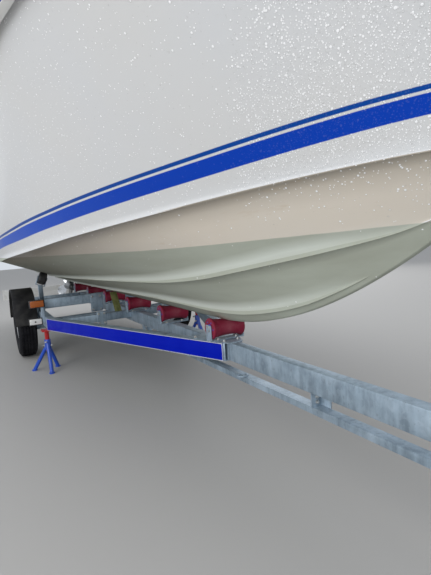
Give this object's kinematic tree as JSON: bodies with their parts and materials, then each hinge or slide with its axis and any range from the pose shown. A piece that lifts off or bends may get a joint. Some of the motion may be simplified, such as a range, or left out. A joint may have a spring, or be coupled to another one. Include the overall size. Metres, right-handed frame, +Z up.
{
  "type": "trailered cabin speedboat",
  "caption": "Glass-fibre planing speedboat with a small cabin and sterndrive, on its galvanised keel-roller trailer held by axle stands.",
  "frame": {"origin": "on the ground, below the middle of the overall length and beam", "axes": "+X forward to the bow and coupling, +Y port, +Z up"},
  "size_m": [8.2, 2.308, 2.329],
  "materials": {
    "hull_gelcoat": "glossy white gelcoat over glass fibre, blue stripes, old antifouling below",
    "white_gelcoat": "glossy white gelcoat over glass fibre",
    "tinted_acrylic": "smoked acrylic",
    "tinted_glass": "lightly tinted",
    "anodised_aluminium": "satin anodised",
    "stainless": "polished stainless steel",
    "seat_vinyl": "off-white marine vinyl",
    "dark_plastic": "satin",
    "rail_plastic": "white vinyl with a blue insert",
    "drive_paint": "satin black marine paint",
    "prop_steel": "polished",
    "galvanised": "hot-dip galvanised",
    "blue_board": "glossy blue with silver edges",
    "lamp_plastic": "white",
    "lamp_lens": "clear moulded lens",
    "black_plastic": "satin",
    "black_rubber": "moulded",
    "tyre_rubber": "moulded",
    "red_rubber": "moulded maroon rubber",
    "rim_paint": "silver",
    "cast_steel": "zinc plated and black",
    "blue_paint": "gloss",
    "red_paint": "gloss",
    "webbing": "woven polyester"
  },
  "bodies": {
    "boat_and_trailer": {"axle": "galvanised", "bow_rail": "stainless", "bow_stop": "black_rubber", "cockpit_coaming": "white_gelcoat", "cockpit_cushions": "seat_vinyl", "cockpit_liner": "white_gelcoat", "coupling": "cast_steel", "cross_beams": "galvanised", "dashboard": "dark_plastic", "deck": "white_gelcoat", "deck_fittings": "stainless", "drawbar": "galvanised", "engine_block": "drive_paint", "hull": "hull_gelcoat", "jockey_tube": "galvanised", "lamp_board": "lamp_plastic", "lamp_brackets": "galvanised", "lamps": "lamp_lens", "lower_chord": "galvanised", "mudguards": "black_plastic", "roller_brackets": "galvanised", "rub_rail": "rail_plastic", "seat_pedestals": "anodised_aluminium", "side_beams": "galvanised", "side_boards": "blue_board", "side_supports": "galvanised", "stand_legs": "blue_paint", "stand_posts": "red_paint", "straps": "webbing", "swim_platform": "white_gelcoat", "transom_plate": "drive_paint", "winch": "galvanised", "winch_post": "galvanised", "windscreen_frame": "anodised_aluminium", "windscreen_glass": "tinted_glass"},
    "left_wheel": {"left_tyre": "tyre_rubber", "left_rim": "rim_paint"},
    "right_wheel": {"right_tyre": "tyre_rubber", "right_rim": "rim_paint"},
    "jockey_leg_body": {"jockey_leg": "galvanised"},
    "jockey_fork_body": {"jockey_fork": "galvanised"},
    "jockey_wheel_body": {"jockey_wheel": "black_rubber"},
    "drive_gimbal_body": {"drive_gimbal": "drive_paint"},
    "drive_leg_body": {"drive_leg": "drive_paint"},
    "propeller_body": {"propeller": "prop_steel"},
    "helm_body": {"helm_wheel": "dark_plastic"},
    "cabin_door_body": {"cabin_door": "tinted_acrylic"},
    "fore_hatch_body": {"fore_hatch": "tinted_acrylic"},
    "engine_lid_body": {"engine_lid": "white_gelcoat", "sun_pad": "seat_vinyl"},
    "swim_ladder_body": {"swim_ladder": "stainless"},
    "keel_roller_1_body": {"keel_roller_1": "red_rubber"},
    "keel_roller_2_body": {"keel_roller_2": "red_rubber"},
    "keel_roller_3_body": {"keel_roller_3": "red_rubber"},
    "keel_roller_4_body": {"keel_roller_4": "red_rubber"},
    "keel_roller_5_body": {"keel_roller_5": "red_rubber"},
    "keel_roller_6_body": {"keel_roller_6": "red_rubber"},
    "side_roller_1_body": {"side_roller_1": "black_rubber"},
    "side_roller_2_body": {"side_roller_2": "black_rubber"}
  },
  "joints": [
    {"name": "left_wheel_spin", "type": "hinge", "parent": "boat_and_trailer", "child": "left_wheel", "pos_m": [-1.617, 0.831, 0.315], "axis": [0, 1, 0], "continuous": true},
    {"name": "right_wheel_spin", "type": "hinge", "parent": "boat_and_trailer", "child": "right_wheel", "pos_m": [-1.617, -0.831, 0.315], "axis": [0, 1, 0], "continuous": true},
    {"name": "jockey_lift", "type": "slide", "parent": "boat_and_trailer", "child": "jockey_leg_body", "axis": [0, 0, 1], "range_m": [0, 0.135]},
    {"name": "jockey_swivel", "type": "hinge", "parent": "jockey_leg_body", "child": "jockey_fork_body", "pos_m": [3.55, 0.1, 0.25], "axis": [0, 0, 1], "continuous": true},
    {"name": "jockey_spin", "type": "hinge", "parent": "jockey_fork_body", "child": "jockey_wheel_body", "pos_m": [3.488, 0.1, 0.11], "axis": [0, 1, 0], "continuous": true},
    {"name": "drive_steer", "type": "hinge", "parent": "boat_and_trailer", "child": "drive_gimbal_body", "pos_m": [-3.33, 0, 0.8], "axis": [0, 0, 1], "range_deg": [-28, 28]},
    {"name": "drive_tilt", "type": "hinge", "parent": "drive_gimbal_body", "child": "drive_leg_body", "pos_m": [-3.37, 0, 0.8], "axis": [0, 1, 0], "range_deg": [0, 45]},
    {"name": "propeller_spin", "type": "hinge", "parent": "drive_leg_body", "child": "propeller_body", "pos_m": [-3.84, 0, 0.495], "axis": [1, 0, 0], "continuous": true},
    {"name": "helm_turn", "type": "hinge", "parent": "boat_and_trailer", "child": "helm_body", "pos_m": [-0.012, -0.48, 1.628], "axis": [-0.7071, 0, 0.7071], "range_deg": [-540, 540]},
    {"name": "cabin_door_swing", "type": "hinge", "parent": "boat_and_trailer", "child": "cabin_door_body", "pos_m": [0.19, 0.2575, 1.45], "axis": [0, 0, -1], "range_deg": [0, 100]},
    {"name": "fore_hatch_lift", "type": "hinge", "parent": "boat_and_trailer", "child": "fore_hatch_body", "pos_m": [1.978, 0, 2.003], "axis": [0, 1, 0], "range_deg": [0, 75]},
    {"name": "engine_lid_lift", "type": "hinge", "parent": "boat_and_trailer", "child": "engine_lid_body", "pos_m": [-3.027, 0, 1.476], "axis": [0, -1, 0], "range_deg": [0, 50]},
    {"name": "swim_ladder_fold", "type": "hinge", "parent": "boat_and_trailer", "child": "swim_ladder_body", "pos_m": [-3.735, 0.69, 1.262], "axis": [0, -1, 0], "range_deg": [0, 260]},
    {"name": "keel_roller_1_spin", "type": "hinge", "parent": "boat_and_trailer", "child": "keel_roller_1_body", "pos_m": [1.02, 0, 0.54], "axis": [0, 1, 0], "continuous": true},
    {"name": "keel_roller_2_spin", "type": "hinge", "parent": "boat_and_trailer", "child": "keel_roller_2_body", "pos_m": [0.275, 0, 0.54], "axis": [0, 1, 0], "continuous": true},
    {"name": "keel_roller_3_spin", "type": "hinge", "parent": "boat_and_trailer", "child": "keel_roller_3_body", "pos_m": [-0.48, 0, 0.54], "axis": [0, 1, 0], "continuous": true},
    {"name": "keel_roller_4_spin", "type": "hinge", "parent": "boat_and_trailer", "child": "keel_roller_4_body", "pos_m": [-1.225, 0, 0.54], "axis": [0, 1, 0], "continuous": true},
    {"name": "keel_roller_5_spin", "type": "hinge", "parent": "boat_and_trailer", "child": "keel_roller_5_body", "pos_m": [-1.975, 0, 0.54], "axis": [0, 1, 0], "continuous": true},
    {"name": "keel_roller_6_spin", "type": "hinge", "parent": "boat_and_trailer", "child": "keel_roller_6_body", "pos_m": [-2.72, 0, 0.54], "axis": [0, 1, 0], "continuous": true},
    {"name": "side_roller_1_spin", "type": "hinge", "parent": "boat_and_trailer", "child": "side_roller_1_body", "pos_m": [-1.9, 0.58449, 0.74678], "axis": [0, 0.927, 0.3751], "continuous": true},
    {"name": "side_roller_2_spin", "type": "hinge", "parent": "boat_and_trailer", "child": "side_roller_2_body", "pos_m": [-1.9, -0.58449, 0.74678], "axis": [0, -0.927, 0.3751], "continuous": true}
  ],
  "couplings": [
    {"joint": "helm_turn", "follows": "drive_steer", "ratio": -19}
  ]
}
